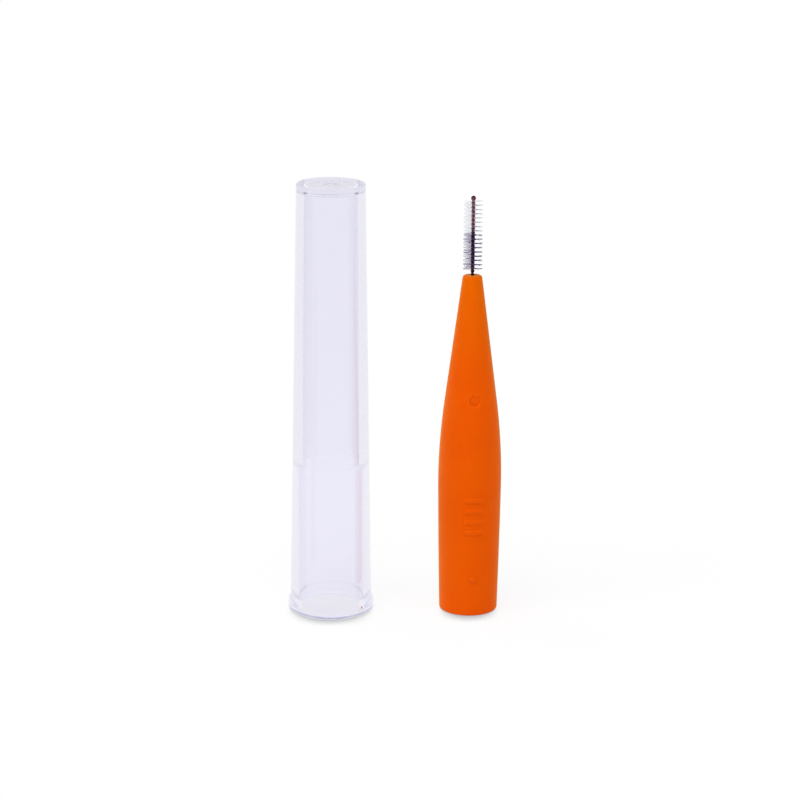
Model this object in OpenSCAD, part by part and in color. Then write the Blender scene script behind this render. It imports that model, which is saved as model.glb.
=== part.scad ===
// Interdental brush with its clear cap standing beside it, in millimetres.
// Z points up from the base of the handle, and the cap stands on the -X side.

/* [Handle] */
// Length of the handle from its base to its nose
handle_len = 54.2; // [48:0.1:60]
// Radius of the barrel at the base
base_r = 4.58; // [4.3:0.01:4.8]
// Height of the corner where the barrel gives way to the cone
corner_z = 27.1; // [25:0.1:30]
// Radius of the handle at that corner, before it is blended
corner_r = 5.02; // [4.9:0.01:5.6]
// How far the side of the barrel bulges out of a straight line
bulge = 0.06; // [0:0.01:0.2]
// Radius of the cone at the nose
nose_r = 1.48; // [1.4:0.01:1.9]
// How far the corner between barrel and cone is cut back by its blend
corner_cut = 0.245; // [0.05:0.005:0.35]
// Radius of the edge round the base
base_edge_r = 0.55; // [0.3:0.05:0.8]
// Radius of the edge round the nose
nose_edge_r = 0.45; // [0.2:0.05:0.6]

/* [Sleeve and core] */
// Thickness of the soft sleeve over the core
sleeve_wall = 0.85; // [0.6:0.05:1]
// Thickness of the sleeve over the two ends of the core
sleeve_end = 1; // [0.7:0.1:1.5]
// Radius of the core's tail, which shows in the base
tail_r = 2.6; // [2:0.1:3.2]
// Length of wire held inside the core
anchor_len = 7.65; // [5:0.05:14]

/* [Front marks] */
// Turn of the marks about the handle, away from its front
mark_turn = 8; // [-30:1:30]
// Height of the round window in the sleeve
window_z = 35; // [33:0.1:38]
// Radius of the round window
window_r = 0.95; // [0.6:0.05:1.2]
// Depth of the window down to the core
window_depth = 0.4; // [0.2:0.05:0.6]
// Height of the round pip near the base
pip_z = 6.1; // [4:0.1:9]
// Radius of the pip
pip_r = 0.65; // [0.4:0.05:0.9]
// How far the pip stands out of the sleeve
pip_stand = 0.18; // [0.1:0.01:0.3]
// Number of grip bars
bar_count = 4; // [2:1:5]
// Height of the middle of the grip bars
bars_z = 16.5; // [14:0.1:18]
// Length of a grip bar across the handle
bar_len = 3.2; // [2:0.1:4.5]
// Width of a grip bar along the handle
bar_w = 0.8; // [0.5:0.05:1.2]
// Distance from one grip bar to the next
bar_pitch = 1.75; // [1.4:0.05:2.2]
// How far a grip bar stands out of the sleeve
bar_stand = 0.12; // [0.06:0.01:0.25]

/* [Wire] */
// Radius of the wire, which is folded in two and twisted
wire_r = 0.15; // [0.1:0.005:0.16]
// Length of one full turn of the twist
twist_pitch = 1.33; // [1:0.01:2]
// Radius of the eye where the wire is folded, to its middle line
eye_r = 0.22; // [0.2:0.01:0.35]
// Angle of the eye past the twist
eye_angle = -12; // [-40:1:40]

/* [Filaments] */
// Bare wire between the nose and the first filament
neck_len = 0.9; // [0.5:0.1:3]
// Length of the zone of dark filaments
dark_len = 5.7; // [3:0.1:8]
// Length of the zone of white filaments
white_len = 5.05; // [3:0.05:8]
// Radius of the brush at the filament ends
brush_r = 1.52; // [1:0.01:2.5]
// Thickness of the filaments where the wires grip them
filament_t = 0.05; // [0.04:0.005:0.08]
// Layers of filaments in each zone, with two strands in a layer
layers = 100; // [80:1:120]

/* [Cap] */
// Clear space between the cap's lip and the barrel
cap_gap = 10.1; // [6:0.1:20]
// Height on the handle where the cap's inner step comes to rest
seat_z = 30.5; // [29:0.1:33]
// Depth of the wide socket in the mouth of the cap
socket_depth = 23.8; // [20:0.1:27]
// Free length above the wire's eye when the cap is on
tip_room = 7.4; // [4:0.1:12]
// Thickness of the cap's closed end
ceiling_t = 1.1; // [0.8:0.1:2.5]
// Wall of the cap just above its lip
mouth_wall = 1.25; // [0.9:0.01:1.6]
// Wall of the cap at its closed end
top_wall = 1.2; // [0.8:0.01:1.6]
// How much the chamber narrows towards the closed end
chamber_draft = 0.35; // [0.1:0.01:0.5]
// How far the lip stands out of the wall
lip_out = 0.39; // [0.2:0.01:0.8]
// Height of the straight part of the lip
lip_h = 1.1; // [0.8:0.1:2]
// Height of the flare from the lip into the wall
flare_h = 1.5; // [0.8:0.1:3]
// Radius under the lip
lip_edge_r = 0.45; // [0.2:0.05:0.6]
// Radius of the edge round the closed end
top_edge_r = 0.28; // [0.1:0.01:0.5]
// Radius of the dimple in the closed end
dimple_r = 1.7; // [1:0.1:2.5]
// Depth of the dimple
dimple_depth = 0.3; // [0.1:0.05:0.5]

/* [Hidden] */
// Clearances between pieces
mould_gap = 0.02;
wire_gap = 0.02;
packing_gap = 0.005;
socket_clear = 0.19;

// Small shapes
overrun = 1;
nose_hole_gap = 0.05;
pip_chamfer = 0.12;
strand_share = 0.8;
groove_share = 0.7;
eye_rise = 0.4;
eye_foot = 0.04;
mouth_lead = 0.45;
ceiling_fillet = 0.5;
step_fillet = 0.15;
dimple_edge_r = 0.2;

// Numbers of steps along curves
$fn = 96;
edge_steps = 6;
barrel_steps = 9;
blend_steps = 12;
flare_steps = 8;
wire_side_count = 6;
turn_steps = 10;
rise_steps = 6;
eye_steps = 14;
corners = 4;

// The handle's outline
cone_slope = (corner_r - nose_r) / (handle_len - corner_z);
corner_blend = 4 * corner_cut;
blend_reach = corner_blend / cone_slope;
core_top = handle_len - sleeve_end;
side_low = base_edge_r;
side_high = handle_len - nose_edge_r;
widest_r = max([for (z = side_heights(side_low, side_high)) handle_r(z)]);

// The wire and the filaments
strand_off = filament_t / 2 + packing_gap + wire_r;
wire_out_r = strand_off + wire_r;
wire_root = core_top - anchor_len;
dark_z = handle_len + neck_len;
white_z = dark_z + dark_len;
brush_top = white_z + white_len;
twist_top = brush_top + eye_foot;
eye_z = twist_top + eye_rise;
tip_z = eye_z + eye_r + wire_r;
packing_w = groove_share * wire_out_r;

// The cap
socket_r = widest_r + socket_clear;
wall_foot_r = socket_r + mouth_wall;
lip_r = wall_foot_r + lip_out;
cap_x = -(widest_r + cap_gap + lip_r);
cap_len = socket_depth + (tip_z - seat_z) + tip_room + ceiling_t;
ceiling_z = cap_len - ceiling_t;

// Points of an arc about a centre, from one angle to another
function arc(centre, r, from, to, steps) =
    [for (i = [0:steps]) centre + r * unit_dir(from + (to - from) * i / steps)];

function unit_dir(angle) = [cos(angle), sin(angle)];

// The smaller of two lengths, with the corner between them blended
function soft_min(a, b, blend) =
    let (near_share = max(blend - abs(a - b), 0) / blend)
    min(a, b) - near_share * near_share * blend / 4;

function barrel_r(z) =
    let (rise = z / corner_z)
    base_r + (corner_r - base_r) * rise + 4 * bulge * rise * (1 - rise);

function cone_r(z) = nose_r + cone_slope * (handle_len - z);

// Radius of the handle at a height
function handle_r(z) = soft_min(barrel_r(z), cone_r(z), corner_blend);

// Heights at which the side of the handle or its core has a point
function side_heights(low, high) =
    let (blend_low = corner_z - blend_reach, blend_high = corner_z + blend_reach)
    concat(
        [for (i = [0:barrel_steps - 1]) low + (blend_low - low) * i / barrel_steps],
        [for (i = [0:blend_steps]) blend_low + (blend_high - blend_low) * i / blend_steps],
        [high]
    );

function handle_outline() =
    let (heights = side_heights(side_low, side_high))
    concat(
        [[0, 0]],
        arc([handle_r(side_low) - base_edge_r, side_low], base_edge_r, -90, 0, edge_steps),
        [for (i = [1:len(heights) - 2]) [handle_r(heights[i]), heights[i]]],
        arc([handle_r(side_high) - nose_edge_r, side_high], nose_edge_r, 0, 90, edge_steps),
        [[0, handle_len]]
    );

// Outline of the core, or with a gap added, of the room for it in the sleeve
function core_outline(gap, foot) =
    let (
        low = sleeve_end - gap,
        high = core_top + gap
    )
    concat(
        [[0, foot], [tail_r + gap, foot], [tail_r + gap, low]],
        [for (z = side_heights(low, high)) [handle_r(z) - sleeve_wall + gap, z]],
        [[0, high]]
    );

// Places its children on the front of the handle, pointing out of it
module on_front(z) {
    rotate([0, 0, mark_turn])
        translate([0, 0, z])
            rotate([90, 0, 0])
                children();
}

// A bar with round ends, drawn across the handle
module bar_shape() {
    square([bar_len - bar_w, bar_w], center = true);
    for (side = [-1, 1])
        translate([side * (bar_len - bar_w) / 2, 0])
            circle(d = bar_w);
}

// A band round the sleeve that stands out of it, from half its wall
module bar_band(low, high) {
    heights = [for (i = [0:blend_steps]) low + (high - low) * i / blend_steps];
    outside = [for (z = heights) [handle_r(z) + bar_stand, z]];
    inside = [for (z = heights) [handle_r(z) - sleeve_wall / 2, z]];
    rotate_extrude()
        polygon(concat(outside, [for (i = [len(inside) - 1:-1:0]) inside[i]]));
}

module grip_bars() {
    reach = (bar_count - 1) * bar_pitch / 2;
    intersection() {
        bar_band(bars_z - reach - bar_w, bars_z + reach + bar_w);
        for (i = [0:bar_count - 1])
            on_front(bars_z - reach + i * bar_pitch)
                linear_extrude(widest_r + bar_stand + overrun)
                    bar_shape();
    }
}

// Soft orange sleeve, with a window over the core and a hole for its pip
module grip() {
    color("#EA5B0C") {
        difference() {
            rotate_extrude()
                polygon(handle_outline());
            rotate_extrude()
                polygon(core_outline(mould_gap, -overrun));
            translate([0, 0, core_top])
                cylinder(r = wire_out_r + nose_hole_gap, h = sleeve_end + overrun);
            on_front(window_z)
                cylinder(r = window_r, h = widest_r + overrun);
            on_front(pip_z)
                cylinder(r = pip_r + mould_gap, h = widest_r + overrun);
        }
        grip_bars();
    }
}

// Firm core that holds the wire, with a boss under the window and the pip
module core() {
    boss_reach = handle_r(window_z) - window_depth;
    pip_reach = handle_r(pip_z) + pip_stand;
    color("#D9480A")
        difference() {
            union() {
                rotate_extrude()
                    polygon(core_outline(0, 0));
                on_front(window_z)
                    cylinder(r = window_r - mould_gap, h = boss_reach);
                on_front(pip_z) {
                    cylinder(r = pip_r, h = pip_reach - pip_chamfer);
                    translate([0, 0, pip_reach - pip_chamfer])
                        cylinder(r1 = pip_r, r2 = pip_r - pip_chamfer, h = pip_chamfer);
                }
            }
            translate([0, 0, wire_root - wire_r - wire_gap])
                cylinder(r = wire_out_r + wire_gap, h = core_top);
        }
}

// Corners of one ring of a mesh, from the first, as places in its list of points
function run(first, count) = [for (k = [0:count - 1]) first + k];

function quad(a, b, c, d) = [[a, b, c], [a, c, d]];

// Walls between two rings that run anticlockwise as seen from the higher one
function band(low, high) =
    let (count = len(low))
    [for (k = [0:count - 1])
        let (next = (k + 1) % count)
        each quad(low[k], low[next], high[next], high[k])];

// A flat or nearly flat end over a ring
function cover(ring) = [for (k = [1:len(ring) - 2]) [ring[0], ring[k], ring[k + 1]]];

function reversed(list) = [for (i = [len(list) - 1:-1:0]) list[i]];

// A closed solid from faces that run anticlockwise as seen from outside
module mesh_solid(points, faces) {
    polyhedron(points, [for (face = faces) reversed(face)]);
}

function unit(v) = v / norm(v);

// Turn of the wires at a height, of a left-handed twist
function twist(z) = -360 * (z - wire_root) / twist_pitch;

// Direction square to the axis, which turns with the twist
function out_dir(z, turn) = [cos(twist(z) + turn), sin(twist(z) + turn), 0];

// One wire of the twist. Each place is a point and the direction away from the axis.
function twist_places(turn) =
    let (steps = round((twist_top - wire_root) / twist_pitch * turn_steps))
    [for (i = [0:steps - 1])
        let (z = wire_root + (twist_top - wire_root) * i / steps, away = out_dir(z, turn))
        [[0, 0, z] + strand_off * away, away]];

// The stretch where the twist eases off and the wires part to form the eye
function rise_places(turn) =
    [for (i = [0:rise_steps - 1])
        let (
            share = i / rise_steps,
            eased = share - share * share / 2,
            spread = share * share * (3 - 2 * share),
            away = out_dir(twist_top + eye_rise * eased, turn + eye_angle * spread),
            off = strand_off + (eye_r - strand_off) * spread
        )
        [[0, 0, twist_top + eye_rise * share] + off * away, away]];

// The half circle of the eye
function eye_places() =
    let (across = out_dir(twist_top + eye_rise / 2, eye_angle), up = [0, 0, 1])
    [for (i = [0:eye_steps])
        let (away = cos(180 * i / eye_steps) * across + sin(180 * i / eye_steps) * up)
        [eye_z * up + eye_r * away, away]];

function wire_places() =
    concat(
        twist_places(0),
        rise_places(0),
        eye_places(),
        reversed(rise_places(180)),
        reversed(twist_places(180))
    );

// Points round one place of a tube, square to the way that the tube runs
function tube_ring(place, along, r, sides) =
    let (
        side = unit(place[1] - (place[1] * along) * along),
        cross_side = cross(along, side)
    )
    [for (k = [0:sides - 1])
        place[0] + r * (cos(360 * k / sides) * side + sin(360 * k / sides) * cross_side)];

module tube(places, r, sides) {
    last = len(places) - 1;
    points = [for (i = [0:last])
        let (along = unit(places[min(i + 1, last)][0] - places[max(i - 1, 0)][0]))
        each tube_ring(places[i], along, r, sides)];
    walls = [for (i = [0:last - 1]) each band(run(i * sides, sides), run((i + 1) * sides, sides))];
    ends = concat(cover(reversed(run(0, sides))), cover(run(last * sides, sides)));
    mesh_solid(points, concat(walls, ends));
}

// Stiff wire, folded in two at the eye and twisted down to its root
module wire() {
    color("#6E5A52")
        tube(wire_places(), wire_r, wire_side_count);
}

// The corners of the packed filaments at a height, between the two wires
function packing_ring(z) =
    let (
        across = filament_t / 2 * out_dir(z, 0),
        along = packing_w * out_dir(z, 90),
        middle = [0, 0, z]
    )
    [
        middle + along + across,
        middle + along - across,
        middle - along - across,
        middle - along + across
    ];

// Points of one layer: the packing's foot and head, then the ends of its two strands
function layer_points(low, high) =
    let (
        foot = packing_ring(low),
        head = packing_ring(high),
        out = (brush_r - packing_w) * out_dir((low + high) / 2, 90)
    )
    concat(
        foot,
        head,
        [for (corner = [foot[0], foot[1], head[1], head[0]]) corner + out],
        [for (corner = [foot[2], foot[3], head[3], head[2]]) corner - out]
    );

// Faces of one layer, up to the foot of the layer above or, on the last one, its cover
function layer_faces(i) =
    let (
        foot = run(4 * corners * i, corners),
        head = run(4 * corners * i + corners, corners),
        left_end = run(4 * corners * i + 2 * corners, corners),
        right_end = run(4 * corners * i + 3 * corners, corners),
        above = run(4 * corners * (i + 1), corners)
    )
    concat(
        quad(foot[1], foot[2], head[2], head[1]),
        quad(foot[3], foot[0], head[0], head[3]),
        band([foot[0], foot[1], head[1], head[0]], left_end),
        band([foot[2], foot[3], head[3], head[2]], right_end),
        cover(left_end),
        cover(right_end),
        i < layers - 1 ? band(head, above) : cover(head)
    );

// One zone of filaments, fused where the twisted wires pack them together
module filaments(low, length) {
    pitch = length / layers;
    strand_t = strand_share * pitch;
    points = [for (i = [0:layers - 1])
        let (z = low + (i + (1 - strand_share) / 2) * pitch)
        each layer_points(z, z + strand_t)];
    faces = [for (i = [0:layers - 1]) each layer_faces(i)];
    mesh_solid(points, concat(cover(reversed(run(0, corners))), faces));
}

module filaments_dark() {
    color("#2B2E3A")
        filaments(dark_z, dark_len);
}

module filaments_white() {
    color("#F2F3F7")
        filaments(white_z, white_len);
}

// Outside of the cap, from the middle of its mouth ring to the middle of its top
function cap_outside() =
    let (
        chamber_top_r = handle_r(seat_z) - chamber_draft,
        top_r = chamber_top_r + top_wall
    )
    concat(
        [[socket_r + mouth_lead, 0]],
        arc([lip_r - lip_edge_r, lip_edge_r], lip_edge_r, -90, 0, edge_steps),
        [for (i = [0:flare_steps])
            [wall_foot_r + lip_out * (1 + cos(180 * i / flare_steps)) / 2,
             lip_h + flare_h * i / flare_steps]],
        arc([top_r - top_edge_r, cap_len - top_edge_r], top_edge_r, 0, 90, edge_steps),
        arc([dimple_r, cap_len - dimple_edge_r], dimple_edge_r, 90, 180, edge_steps),
        [[dimple_r - dimple_edge_r, cap_len - dimple_depth], [0, cap_len - dimple_depth]]
    );

// Inside of the cap, from the middle of its ceiling down to its mouth
function cap_inside() =
    let (
        mouth_r = handle_r(seat_z),
        high_r = mouth_r - chamber_draft
    )
    concat(
        [[0, ceiling_z]],
        arc([high_r - ceiling_fillet, ceiling_z - ceiling_fillet], ceiling_fillet, 90, 0, edge_steps),
        arc([mouth_r + step_fillet, socket_depth + step_fillet], step_fillet, 180, 270, edge_steps),
        [[socket_r, socket_depth], [socket_r, mouth_lead]]
    );

// Clear cap, with a wide socket at its mouth and a narrower chamber for the brush
module cap() {
    color("#DADAF0", 0.4)
        translate([cap_x, 0, 0])
            rotate_extrude()
                polygon(concat(cap_outside(), cap_inside()));
}

grip();
core();
wire();
filaments_dark();
filaments_white();
cap();
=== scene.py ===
import math
import random

import bmesh
import bpy
import numpy as np
from mathutils import Matrix, Vector


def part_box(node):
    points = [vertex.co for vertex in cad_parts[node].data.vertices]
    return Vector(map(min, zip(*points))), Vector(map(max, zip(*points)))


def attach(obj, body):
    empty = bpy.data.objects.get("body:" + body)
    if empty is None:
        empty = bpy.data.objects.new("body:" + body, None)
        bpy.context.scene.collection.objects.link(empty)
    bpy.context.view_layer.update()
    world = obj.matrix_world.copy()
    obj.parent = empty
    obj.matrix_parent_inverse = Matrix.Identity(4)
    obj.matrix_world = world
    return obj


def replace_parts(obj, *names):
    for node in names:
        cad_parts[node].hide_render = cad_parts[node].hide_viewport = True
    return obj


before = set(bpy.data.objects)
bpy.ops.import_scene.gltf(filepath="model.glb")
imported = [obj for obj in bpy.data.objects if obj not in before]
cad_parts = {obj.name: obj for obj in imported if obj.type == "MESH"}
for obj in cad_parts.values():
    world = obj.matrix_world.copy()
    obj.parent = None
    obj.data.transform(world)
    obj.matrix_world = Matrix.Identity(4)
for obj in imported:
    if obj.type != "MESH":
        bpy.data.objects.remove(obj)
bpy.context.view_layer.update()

# All lengths below are in millimetres, and become metres as they reach Blender
MM = 0.001


def mm_box(node):
    """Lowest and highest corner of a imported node, in millimetres."""
    low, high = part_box(node)
    return low / MM, high / MM


# Where the photograph was taken from
AIM = Vector((-11.05, 0, 34.12))
CAMERA_DISTANCE = 420
CAMERA_RISE = math.radians(15.6)
CAMERA_ROLL = math.radians(0.39)
SENSOR = 36
LENS_SHARE = 0.288
NEAREST_SEEN = 42
FURTHEST_SEEN = 8400

# Handle
HANDLE_LEN = mm_box("grip")[1].z
BASE_R = 4.58
CORNER_Z = 27.1
CORNER_R = 5.02
BULGE = 0.06
NOSE_R = 1.48
CORNER_BLEND = 0.98
BASE_EDGE_R = 0.35
NOSE_EDGE_R = 0.45

# Sleeve and core
SLEEVE_WALL = 0.85
SLEEVE_END = 1.0
MOULD_GAP = 0.02
TAIL_R = 2.6
TAIL_EDGE_R = 0.05
NOSE_HOLE_R = 0.35
CORE_TOP = HANDLE_LEN - SLEEVE_END
CORE_MIDDLE_R = 0.2

# Marks on the front of the handle
MARK_TURN = math.radians(8)
WINDOW_Z = 35.0
WINDOW_R = 0.95
WINDOW_DEPTH = 0.3
WINDOW_FLOOR_GAP = 0.06
WINDOW_RIM = 0.3
WINDOW_DOME = 0.16
PIP_Z = 6.1
PIP_R = 0.65
PIP_STAND = 0.18
PIP_MOAT_W = 0.1
PIP_MOAT_DEPTH = 0.05
BAR_COUNT = 4
BARS_Z = 16.5
BAR_LEN = 3.2
BAR_W = 0.8
BAR_PITCH = 1.75
BAR_STAND = 0.15
BAR_SLOPE = 0.13

# Wire
WIRE_R = 0.15
STRAND_OFF = 0.158
TWIST_PITCH = 1.33
EYE_R = 0.2
EYE_WIRE_R = 0.19
EYE_RISE = 0.4
EYE_ANGLE = math.radians(-12)
TIP_Z = mm_box("wire")[1].z
EYE_Z = TIP_Z - EYE_R - EYE_WIRE_R
TWIST_TOP = EYE_Z - EYE_RISE
ROOT_DEPTH = 7.65
WIRE_ROOT = CORE_TOP - ROOT_DEPTH

# Filaments
DARK_LOW, DARK_HIGH = mm_box("filaments_dark")
WHITE_LOW, WHITE_HIGH = mm_box("filaments_white")
BRUSH_R = 1.52
DARK_FILAMENT_R = 0.019
WHITE_FILAMENT_R = 0.016
DARK_LAYERS = 170
WHITE_LAYERS = 240
DARK_SPLAY = 0.08
WHITE_SPLAY = 0.12
FILAMENT_LEAN = 0.03
REACH_SPREAD = 0.03
LAYER_SPREAD = 0.4
DARK_SEED = 11
WHITE_SEED = 12
PACKING_T = 0.02
PACKING_W = 0.12

# Cap
CAP_LOW, CAP_HIGH = mm_box("cap")
CAP_X = (CAP_LOW.x + CAP_HIGH.x) / 2
CAP_LEN = CAP_HIGH.z
LIP_R = (CAP_HIGH.x - CAP_LOW.x) / 2
LIP_OUT = 0.39
MOUTH_WALL = 1.25
WALL_FOOT_R = LIP_R - LIP_OUT
SOCKET_R = WALL_FOOT_R - MOUTH_WALL
SOCKET_DEPTH = 23.8
CHAMBER_FOOT_R = 4.508
CHAMBER_TOP_R = 4.158
TOP_WALL = 1.2
CEILING_T = 1.1
MOUTH_LEAD = 0.45
LIP_H = 1.1
FLARE_H = 1.5
LIP_EDGE_R = 0.45
TOP_EDGE_R = 0.28
CEILING_FILLET = 0.5
STEP_RISE = 0.5
DIMPLE_R = 1.7
DIMPLE_DEPTH = 0.3
DIMPLE_EDGE_R = 0.2
GATE_R = 0.4
GATE_H = 0.14
MOULD_LINE_TURN = math.radians(-91.5)
MOULD_LINE_W = 0.16
MOULD_LINE_H = 0.05
MOULD_LINE_LOW = 2.0
MOULD_LINE_HIGH = 17.0
MOULD_LINE_FADE = 4

# Grain of moulded plastic: the share of its pits, and the heights between which a second tone comes
PIT_SHARE = 0.5
TONE_END = HANDLE_LEN + 2
LIGHTER_END = DARK_HIGH.z + 1.5
HANDLE_RISE = [(WINDOW_Z, TONE_END)]
# The wire keeps its deeper tone below LIGHTER_END, a painted shade of the dark nylon round it, and
# on its eye.
WIRE_RISE = [(DARK_HIGH.z, LIGHTER_END), (TIP_Z, TWIST_TOP)]

# Painted shade of the cap, in its second tone: on its top, up its length, where its wall turns off
# and along its chamber
TOP_SOFT_EDGE = 0.6
RISE_SHARE = 0.07
RISE_START = 10
TURNED_SHARE = 0.38
TURNED_RANGE = (0.3, 0.5)
LINE_SHARE = 0.3
LINE_RISING = (0.2, 0.33)
LINE_FALLING = (0.46, 0.34)
LINE_START = 2

# Painted dark shade in the corner under the closed end of the cap
CORNER_SHADE_TONE = (0.08, 0.075, 0.09, 1)
CORNER_DEPTH = 0.85
CORNER_HEIGHT = CAP_LEN - CORNER_DEPTH
CORNER_REACH = 0.3

# Light inside the cap's plastic, which goes straight on after a few bounces
MOST_BOUNCES = 4
STRAIGHT_TONE = (0.96, 0.957, 0.985, 1)
SHADOW_TONE = (0.86, 0.86, 0.88, 1)
DEPTH_TONE = (0.36, 0.35, 0.60, 1)
DEPTH_DENSITY = 25.0

# Floor, its painted shadow close to what stands on it and under the cap, and the share of its white
# that glows by itself
FLOOR_TONE = (0.83, 0.835, 0.84, 1)
CONTACT_SHADOW_TONE = (0.47, 0.48, 0.50, 1)
CONTACT_REACH = 5.0
CONTACT_SAMPLES = 16
CONTACT_LEAN = (0.03, 0.95, 0.31)
CONTACT_RANGE = (0.41, 0.72)
UNDER_CAP_SHADE = 0.68
UNDER_CAP_SHADE_EDGE = 0.6
NEAR_SHARE = 0.8
NEAR_GLOW = 1.045
FLOOR_NEAR = 25
FLOOR_FAR = 110
FLOOR_R = 4000
FLOOR_DROP = 0.01
FLOOR_SIDES = 64

# Light: white, the strength of the surround, and the size, names, places and power of the lamps
WHITE = (1, 1, 1, 1)
WORLD_LIGHT = 0.5
LAMP_SIZE = 300
LAMPS = [
    ("top_lamp", (-80, -240, 560), 1.2),
    ("side_lamp", (-520, -240, 240), 1.05),
    ("rim_lamp", (-380, 300, 240), 0.45),
    ("fill_lamp", (480, -320, 240), 0.82),
]

# White card between handle and cap, which glows in their gloss as a painted reflection
CARD_W = 24
CARD_FOOT = 0.1
CARD_TOP = 75

# Longest stretches along an outline, and how near a point lies to the end of one
MARK_STEP = 0.055
SIDE_STEP = 0.8
FLAT_STEP = 0.5
FLAT_END = 0.03
NOSE_STEP = 0.25
HOLE_STEP = 0.3
NOSE_END = 0.02
CAP_STEP = 0.9

# Where the handle's mesh is fine
PIP_ZONE = 2 * PIP_R
WINDOW_ZONE = 1.4 * WINDOW_R
FRONT_HALF = math.radians(24)

# Counts of points, steps and sides of the handle's meshes
ROUND_STEPS = 10
TAIL_EDGE_STEPS = 4
FRONT_COLUMNS = 73
BACK_COLUMNS = 104
CORE_ROWS = 40
CORE_COLUMNS = 96
DOME_STEPS = 13
DOME_COLUMNS = 64

# Counts of points, steps and sides of wire and filaments, and the side that a tube starts from
TURN_STEPS = 34
PARTING_STEPS = 16
EYE_STEPS = 27
WIRE_SIDES = 14
PACKING_STEPS = 24
FILAMENT_POINTS = 5
FILAMENT_SIDES = 6
TUBE_START = (0.3, 0.5, 0.8)

# Counts of points, steps and columns of the cap's mesh, and how its mould line is picked out
GATE_POINTS = 8
DIMPLE_STEPS = 8
FLARE_POINTS = 18
LIP_STEPS = 12
CAP_COLUMNS = 180
MOULD_LINE_COLUMNS = 9
MOULD_LINE_SIDE = 0.08
SAME_RADIUS = 0.01


def place_camera():
    """A camera at the photograph's viewing angle, rolled a little as the photograph is."""
    back = Vector((0, -math.cos(CAMERA_RISE), math.sin(CAMERA_RISE)))
    level = Vector((1, 0, 0))
    upright = back.cross(level)
    right = math.cos(CAMERA_ROLL) * level + math.sin(CAMERA_ROLL) * upright
    up = back.cross(right)
    camera = bpy.data.objects.new("camera", bpy.data.cameras.new("camera"))
    camera.data.sensor_width = SENSOR
    camera.data.lens = LENS_SHARE * CAMERA_DISTANCE
    camera.data.clip_start = NEAREST_SEEN * MM
    camera.data.clip_end = FURTHEST_SEEN * MM
    turn = Matrix((right, up, back)).transposed().to_4x4()
    camera.matrix_world = Matrix.Translation((AIM + CAMERA_DISTANCE * back) * MM) @ turn
    bpy.context.scene.collection.objects.link(camera)
    bpy.context.scene.camera = camera


def arc(centre, radius, start, end, steps):
    """Points of an arc in an outline, with angles in degrees."""
    angles = np.radians(np.linspace(start, end, steps + 1))
    return [(centre[0] + radius * math.cos(a), centre[1] + radius * math.sin(a)) for a in angles]


def smooth(value):
    """Goes from 0 to 1 with no corner as value does."""
    value = np.clip(value, 0, 1)
    return value * value * (3 - 2 * value)


def split_long(outline, longest, near):
    """The outline with its long stretches cut up, and a point near each end of them."""
    points = [outline[0]]
    for a, b in zip(outline, outline[1:]):
        length = math.dist(a, b)
        shares = [1]
        if length > longest:
            inner = np.linspace(0, 1, math.ceil(length / longest) + 1)[1:-1]
            shares = [near / length, *inner, 1 - near / length, 1]
        points += [(a[0] + (b[0] - a[0]) * s, a[1] + (b[1] - a[1]) * s) for s in shares]
    return points


def new_object(name, points, faces, material):
    """A mesh object from points in millimetres."""
    mesh = bpy.data.meshes.new(name)
    places = (np.asarray(points, float) * MM).tolist()
    mesh.from_pydata(places, [], [list(map(int, face)) for face in faces])
    mesh.materials.append(material)
    obj = bpy.data.objects.new(name, mesh)
    bpy.context.scene.collection.objects.link(obj)
    return obj


def piece(name, points, faces, body, material):
    """A smooth piece with its faces turned outward, riding on a body of the frame."""
    obj = new_object(name, points, faces, material)
    shape = bmesh.new()
    shape.from_mesh(obj.data)
    bmesh.ops.recalc_face_normals(shape, faces=shape.faces)
    shape.to_mesh(obj.data)
    shape.free()
    obj.data.shade_smooth()
    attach(obj, body)
    return obj


class Shape:
    """Points and faces of several closed shells, gathered before they become one mesh."""

    def __init__(self):
        self.points = []
        self.faces = []
        self.count = 0

    def add(self, points, faces):
        """Adds one closed shell."""
        points = np.asarray(points, float).reshape(-1, 3)
        self.points.append(points)
        self.faces += [[self.count + i for i in face] for face in faces]
        self.count += len(points)

    def all_points(self):
        """The points of all shells together."""
        return np.concatenate(self.points)


def grid_faces(rows, columns, loop):
    """Quads over rows of points that go round, with the last row joined to the first in a loop."""
    faces = []
    for i in range(rows if loop else rows - 1):
        low, high = i * columns, (i + 1) % rows * columns
        for k in range(columns):
            n = (k + 1) % columns
            faces.append((low + k, low + n, high + n, high + k))
    return faces


def pole_faces(first, columns, pole):
    """Triangles from a ring of points to one point on the axis."""
    return [(first + k, first + (k + 1) % columns, pole) for k in range(columns)]


def turned(outline, angles):
    """Points and faces of a closed shape turned about Z, its outline from the axis back to it."""
    inner = outline[1:-1]
    rings = np.concatenate(rings_of(inner, angles))
    columns = len(angles)
    last = (len(inner) - 1) * columns
    poles = [(0, 0, outline[0][1]), (0, 0, outline[-1][1])]
    first_pole = len(inner) * columns
    points = np.concatenate([rings, poles])
    faces = grid_faces(len(inner), columns, False)
    faces += pole_faces(0, columns, first_pole)
    faces += pole_faces(last, columns, first_pole + 1)
    return points, faces


def even_angles(count):
    """Angles that divide a full turn evenly."""
    return np.linspace(0, 2 * math.pi, count, endpoint=False)


def barrel_r(z):
    """Radius of the handle's lower part, which widens upward and bulges a little."""
    rise = z / CORNER_Z
    return BASE_R + (CORNER_R - BASE_R) * rise + 4 * BULGE * rise * (1 - rise)


def handle_r(z):
    """Radius of the handle at a height: the smaller of barrel and cone, their corner blended."""
    barrel = barrel_r(z)
    slope = (CORNER_R - NOSE_R) / (HANDLE_LEN - CORNER_Z)
    cone = NOSE_R + slope * (HANDLE_LEN - z)
    near = np.maximum(CORNER_BLEND - np.abs(barrel - cone), 0) / CORNER_BLEND
    return np.minimum(barrel, cone) - near * near * CORNER_BLEND / 4


def spread(low, high, step):
    """Heights from low to high, no more than a step apart."""
    return np.linspace(low, high, max(2, math.ceil((high - low) / step) + 1))


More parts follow.
